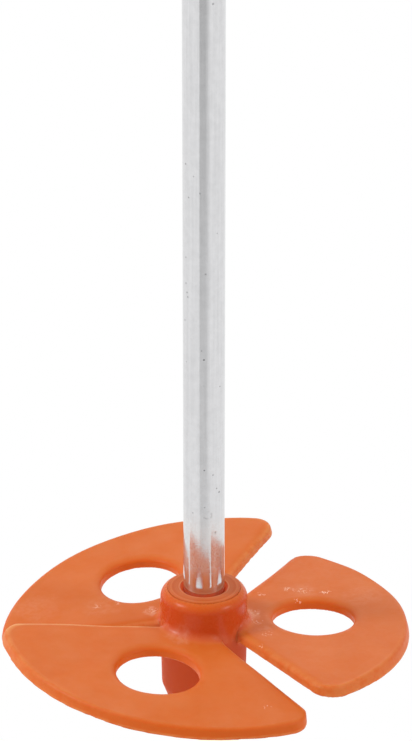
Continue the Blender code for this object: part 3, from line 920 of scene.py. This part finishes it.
def make_steel(name, base, low_rough, high_rough):
    """Bright zinc-plated steel with lengthwise streaks, a faint mottle, sparse dark pits and dust."""
    material, nodes, shader = new_material(name)
    place = nodes.place_in_mm()
    height = nodes.height(place)
    along = nodes.vector("MULTIPLY", place, ALONG_BAR)
    streak = nodes.times(nodes.pattern(along, **STEEL_STREAKS), STREAK_SHARE)
    patch = nodes.times(nodes.pattern(place, **STEEL_PATCHES), 1.0 - STREAK_SHARE)
    colour = nodes.blend(nodes.maths("ADD", streak, patch), *shades(base, STEEL_SHADES))
    pits = steel_pits(nodes, place)
    colour = nodes.blend(pits, colour, PIT_COLOUR)
    dust = foot_dust(nodes, place, height)
    colour = nodes.blend(dust, colour, DUST_COLOUR)
    crystals = nodes.noise(place, **CRYSTALS)
    grain = nodes.times(nodes.noise(place, **GRAIN), nodes.remap(height, *GRAIN_HEIGHTS, 1.0, 0.0))
    relief = nodes.maths("ADD", nodes.noise(along, **RIDGES), nodes.times(crystals, CRYSTAL_DEPTH))
    relief = nodes.maths("SUBTRACT", relief, nodes.times(pits, PIT_DEPTH))
    relief = nodes.maths("ADD", relief, nodes.times(grain, GRAIN_DEPTH))
    nodes.feed(shader.inputs["Base Color"], colour)
    nodes.feed(shader.inputs["Roughness"], nodes.remap(crystals, *CRYSTAL_LEVELS, low_rough, high_rough))
    nodes.feed(shader.inputs["Normal"], nodes.bump(relief, STEEL_BUMP))
    nodes.feed(shader.inputs["Metallic"], nodes.remap(dust, 0.0, 1.0, BARE_METALLIC, DUSTY_METALLIC))
    return material


# Nylon: its two colours as linear light, the scale of its clouds, their levels and the roughness they give
NYLON_COLOURS = ((0.78, 0.76, 0.68, 1.0), (0.88, 0.87, 0.82, 1.0))
NYLON_CLOUDS = 0.6
NYLON_LEVELS = (0.2, 0.8)
NYLON_ROUGHNESS = (0.42, 0.55)


def make_nylon(name):
    """Natural nylon, faintly cloudy."""
    material, nodes, shader = new_material(name)
    cloud = nodes.noise(nodes.place_in_mm(), NYLON_CLOUDS)
    nodes.feed(shader.inputs["Base Color"], nodes.blend(cloud, *NYLON_COLOURS))
    nodes.feed(shader.inputs["Roughness"], nodes.remap(cloud, *NYLON_LEVELS, *NYLON_ROUGHNESS))
    return material


def dress(piece, material):
    piece.data.materials.clear()
    piece.data.materials.append(material)


def make_camera():
    camera = bpy.data.objects.new("camera", bpy.data.cameras.new("camera"))
    bpy.context.scene.collection.objects.link(camera)
    camera.data.sensor_width = SENSOR_LONG_SIDE
    camera.data.lens = CAMERA_LENS
    camera.data.clip_start = CAMERA_CLIP_START * MM
    camera.location = tuple(value * MM for value in CAMERA_PLACE)
    camera.rotation_euler = (pi / 2 - CAMERA_PITCH, 0.0, CAMERA_AZIMUTH)
    bpy.context.scene.camera = camera


def make_floor():
    """A pale floor that takes the shadow. It is one-sided, so that the part can be looked at from below."""
    size = FLOOR_HALF_SIZE
    corners = [(-size, -size, 0.0), (size, -size, 0.0), (size, size, 0.0), (-size, size, 0.0)]
    mesh = bpy.data.meshes.new("floor")
    mesh.from_pydata(corners, [], [(0, 1, 2, 3)])
    floor = bpy.data.objects.new("floor", mesh)
    floor.location.z = FLOOR_LEVEL
    bpy.context.scene.collection.objects.link(floor)
    floor.visible_glossy = False
    material, nodes, shader = new_material("pale_floor")
    shader.inputs["Base Color"].default_value = FLOOR_COLOUR
    shader.inputs["Roughness"].default_value = FLOOR_ROUGHNESS
    shader.inputs["Specular IOR Level"].default_value = 0.0
    shader.inputs["Emission Color"].default_value = WHITE
    camera_ray = nodes.add("ShaderNodeLightPath").outputs["Is Camera Ray"]
    nodes.feed(shader.inputs["Emission Strength"], nodes.times(camera_ray, FLOOR_GLOW))
    spot = nodes.add("ShaderNodeTexCoord").outputs["Object"]
    away = nodes.vector("LENGTH", spot, spot, "Value")
    paper = nodes.add("ShaderNodeEmission")
    far = nodes.times(camera_ray, nodes.remap(away, *PAPER_FADE))
    shown = nodes.add("ShaderNodeMixShader", None, {0: far, 1: shader.outputs[0], 2: paper.outputs[0]})
    clear = nodes.add("ShaderNodeBsdfTransparent")
    behind = nodes.add("ShaderNodeNewGeometry").outputs["Backfacing"]
    mix = nodes.add("ShaderNodeMixShader", None, {0: behind, 1: shown.outputs[0], 2: clear.outputs[0]})
    nodes.feed(nodes.tree.nodes["Material Output"].inputs["Surface"], mix.outputs[0])
    mesh.materials.append(material)


# Studio: soft light all round, with a darker opening on the camera's side, in angles to its right and up
SOFT_LIGHT = 0.84
GLOSS_OPENING = {
    "left": (radians(-25.0), radians(-22.0)),
    "right": (radians(38.0), radians(4.0)),
    "foot": (radians(-36.0), radians(-14.0)),
    "head": (radians(65.0), radians(40.0)),
    "darkness": 0.5,
}
SOFT_OPENING = {
    "left": (radians(-70.0), radians(-30.0)),
    "right": (radians(70.0), radians(30.0)),
    "foot": (radians(-60.0), radians(-40.0)),
    "head": (radians(75.0), radians(35.0)),
    "darkness": 0.5,
}


def opening_level(nodes, turn, rise, opening):
    """What is left of the light in a direction, given an opening's sides, foot, head and darkness."""
    share = nodes.times(nodes.remap(turn, *opening["left"]), nodes.remap(turn, *opening["right"]))
    share = nodes.times(share, nodes.remap(rise, *opening["foot"], smooth=False))
    share = nodes.times(share, nodes.remap(rise, *opening["head"]))
    return nodes.maths("SUBTRACT", 1.0, nodes.times(share, opening["darkness"]))


def make_world():
    world = bpy.data.worlds.new("studio")
    bpy.context.scene.world = world
    world.use_nodes = True
    world.cycles.sampling_method = "NONE"
    tree = world.node_tree
    nodes = Nodes(tree)
    way = nodes.add("ShaderNodeTexCoord").outputs["Generated"]
    right = (cos(CAMERA_AZIMUTH), sin(CAMERA_AZIMUTH), 0.0)
    nearer = (sin(CAMERA_AZIMUTH), -cos(CAMERA_AZIMUTH), 0.0)
    sideways = nodes.vector("DOT_PRODUCT", way, right, "Value")
    forwards = nodes.vector("DOT_PRODUCT", way, nearer, "Value")
    upwards = nodes.vector("DOT_PRODUCT", way, (0.0, 0.0, 1.0), "Value")
    turn = nodes.maths("ARCTAN2", sideways, forwards)
    rise = nodes.maths("ARCSINE", upwards)
    path = nodes.add("ShaderNodeLightPath").outputs
    clear = nodes.maths("MAXIMUM", path["Is Camera Ray"], path["Is Transmission Ray"])
    gloss = nodes.times(path["Is Glossy Ray"], opening_level(nodes, turn, rise, GLOSS_OPENING))
    soft = nodes.times(opening_level(nodes, turn, rise, SOFT_OPENING), SOFT_LIGHT)
    soft = nodes.times(path["Is Diffuse Ray"], soft)
    level = nodes.maths("MAXIMUM", nodes.maths("MAXIMUM", clear, gloss), soft)
    background = tree.nodes["Background"]
    background.inputs["Color"].default_value = WHITE
    nodes.feed(background.inputs["Strength"], level)


# Two softboxes: degrees to the camera's right and up, distance and side in metres, and power
SOFTBOXES = (("softbox_left", -80.0, 38.0, 1.0, 0.25, 3.8), ("softbox_right", 66.0, 27.0, 1.0, 0.25, 1.9))
SOFTBOX_AIM = 0.02


def make_softboxes():
    for name, turn_deg, rise_deg, distance, side, power in SOFTBOXES:
        lamp = bpy.data.lights.new(name, "AREA")
        lamp.size = side
        lamp.energy = power
        box = bpy.data.objects.new(name, lamp)
        bpy.context.scene.collection.objects.link(box)
        turn = radians(turn_deg) + CAMERA_AZIMUTH
        rise = radians(rise_deg)
        out = (sin(turn) * cos(rise), -cos(turn) * cos(rise), sin(rise))
        box.location = tuple(distance * value for value in out)
        box.location.z += SOFTBOX_AIM
        box.rotation_euler = (pi / 2 - rise, 0.0, turn)


def main():
    impeller = make_impeller()
    shaft = make_shaft()
    bush = make_bush()
    plastic = make_plastic("moulded_polypropylene", IMPELLER_ORANGE, moulding=True)
    insert = make_plastic("insert_polypropylene", INSERT_ORANGE, moulding=False)
    bright = make_steel("zinc_bright_bar", *BAR_STEEL)
    fastener = make_steel("zinc_fasteners", *FASTENER_STEEL)
    nylon = make_nylon("natural_nylon")
    dress(impeller, plastic)
    dress(bush, insert)
    dress(shaft, bright)
    nodes = frame["nodes"]
    dress(nodes["end_cap"], insert)
    dress(nodes["shoulder_washer"], fastener)
    dress(nodes["lock_nut"], fastener)
    dress(nodes["lock_ring"], nylon)
    make_camera()
    make_floor()
    make_world()
    make_softboxes()
    bpy.context.scene.view_settings.view_transform = "Standard"


main()
